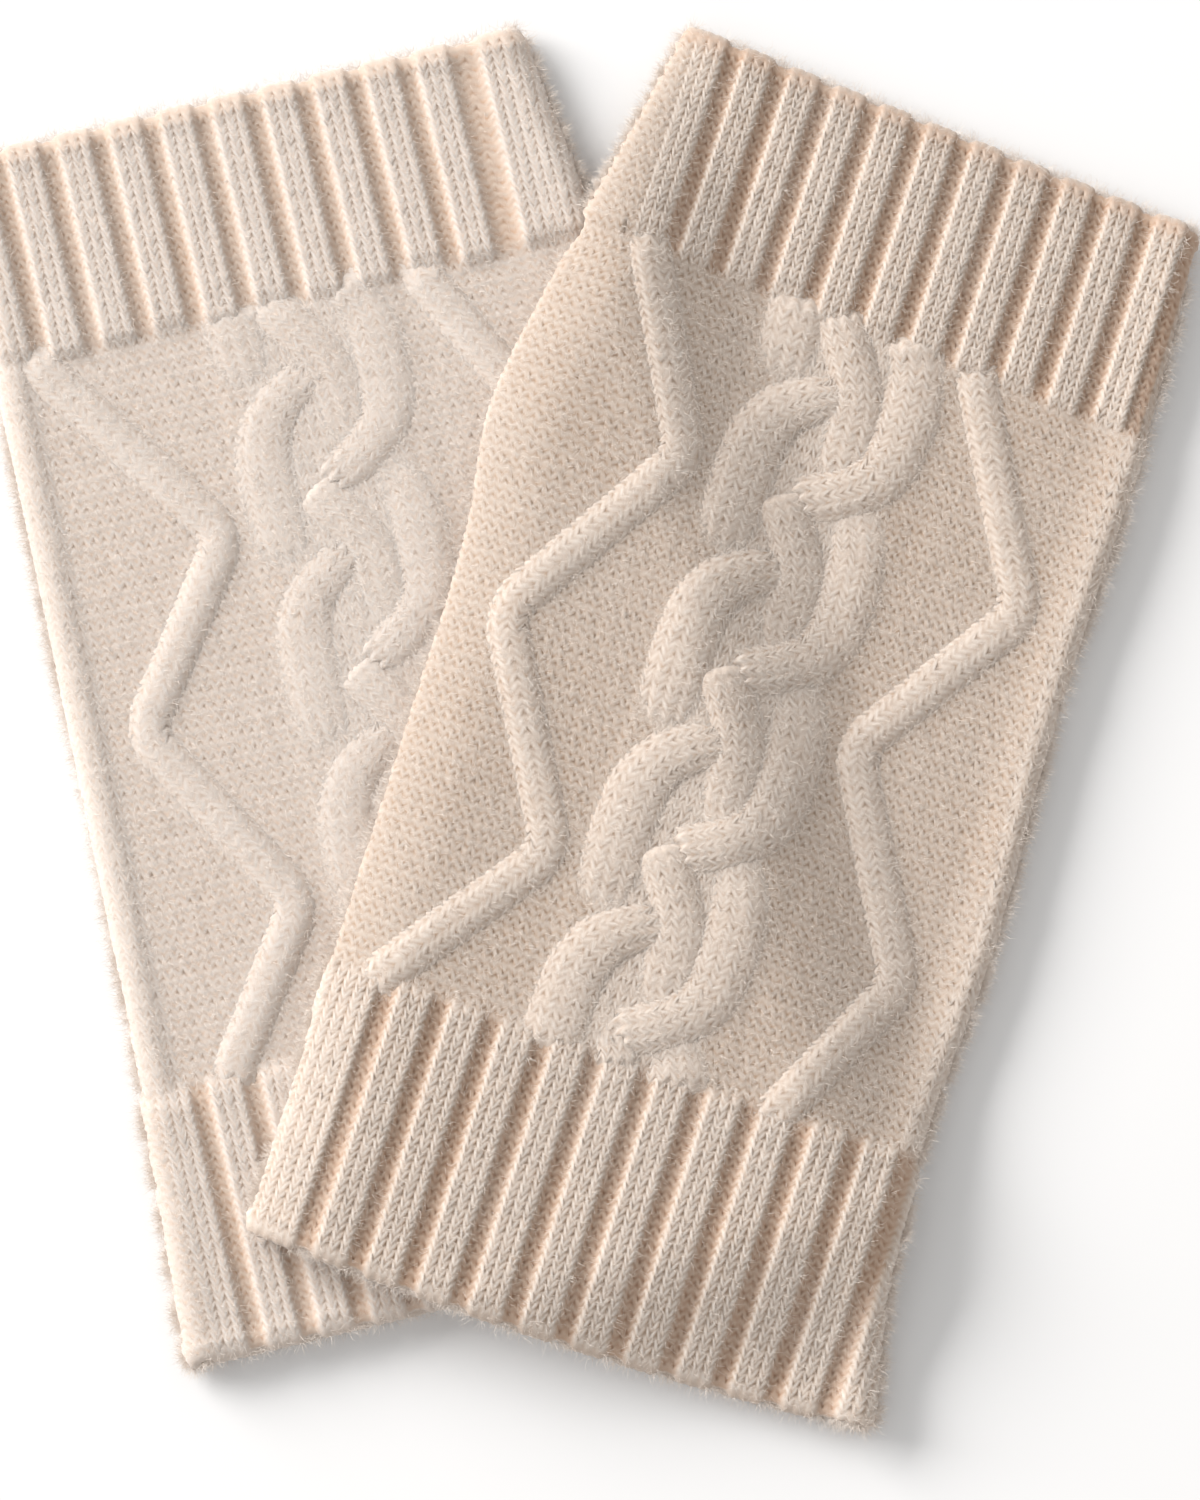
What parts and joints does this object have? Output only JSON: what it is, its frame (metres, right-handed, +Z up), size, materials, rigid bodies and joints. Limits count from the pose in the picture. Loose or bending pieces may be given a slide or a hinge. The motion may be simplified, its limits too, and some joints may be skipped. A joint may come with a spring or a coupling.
{
  "type": "pair of wrist warmers",
  "caption": "Knitted tubes with ribbed cuffs, a plaited cable and zigzag ridges, laid flat with one across the other.",
  "frame": {"origin": "centre of the pair's bounding box, on the table the pair lies on", "axes": "+Z up from the table, +Y from the bottom cuffs towards the top cuffs along the picture, +X to the right as seen from above"},
  "size_m": [0.1995, 0.2242, 0.0141],
  "materials": {
    "lower_top_cuff_wool": "matt oatmeal rib knit",
    "lower_body_wool": "matt oatmeal cable knit",
    "lower_bottom_cuff_wool": "matt oatmeal rib knit",
    "upper_top_cuff_wool": "matt oatmeal rib knit",
    "upper_body_wool": "matt oatmeal cable knit",
    "upper_bottom_cuff_wool": "matt oatmeal rib knit"
  },
  "bodies": {
    "root": {"lower_top_cuff": "lower_top_cuff_wool", "lower_body": "lower_body_wool", "lower_bottom_cuff": "lower_bottom_cuff_wool", "upper_top_cuff": "upper_top_cuff_wool", "upper_body": "upper_body_wool", "upper_bottom_cuff": "upper_bottom_cuff_wool"}
  },
  "joints": []
}
